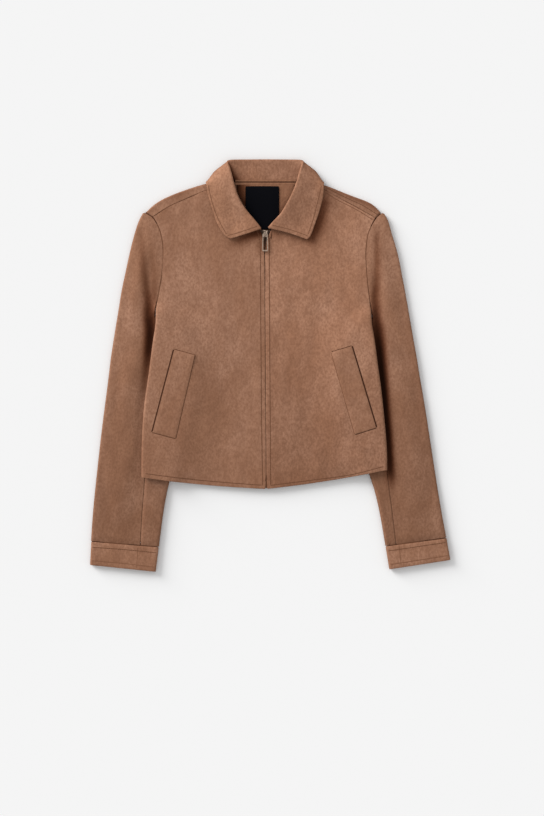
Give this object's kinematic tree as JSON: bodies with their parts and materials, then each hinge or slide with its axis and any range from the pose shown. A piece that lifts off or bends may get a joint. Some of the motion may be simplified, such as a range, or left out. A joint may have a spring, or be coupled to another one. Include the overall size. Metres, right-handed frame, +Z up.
{
  "type": "suede jacket",
  "caption": "Cropped brown suede jacket laid out flat, front up, zipped, with a pointed collar, slanted welt pockets and banded cuffs.",
  "frame": {"origin": "bottom centre of the bounding box, on the surface the jacket lies on", "axes": "+Z up from the surface through the back to the front, +Y towards the collar, +X towards the wearer's left sleeve"},
  "size_m": [0.6316, 0.7226, 0.0225],
  "materials": {
    "suede": "soft brushed nap, mottled tan brown",
    "label": "woven black, blank",
    "tape": "woven brown",
    "zip_metal": "warm grey metal"
  },
  "bodies": {
    "jacket": {"back_panel": "suede", "front_panel_right": "suede", "front_panel_left": "suede", "sleeve_top_right": "suede", "sleeve_top_left": "suede", "sleeve_under_right": "suede", "sleeve_under_left": "suede", "cuff_right": "suede", "cuff_left": "suede", "collar": "suede", "neck_facing": "suede", "inner_label": "label", "pocket_welt_right": "suede", "pocket_welt_left": "suede", "zip_tape_right": "tape", "zip_tape_left": "tape", "zip_slider": "zip_metal", "zip_stop": "zip_metal"},
    "tab": {"pull_tab": "zip_metal"}
  },
  "joints": [
    {"name": "pull_tab_hinge", "type": "hinge", "parent": "jacket", "child": "tab", "pos_m": [-0.0088, 0.2294, 0.0105], "axis": [-1, 0, 0], "range_deg": [0, 165]}
  ]
}
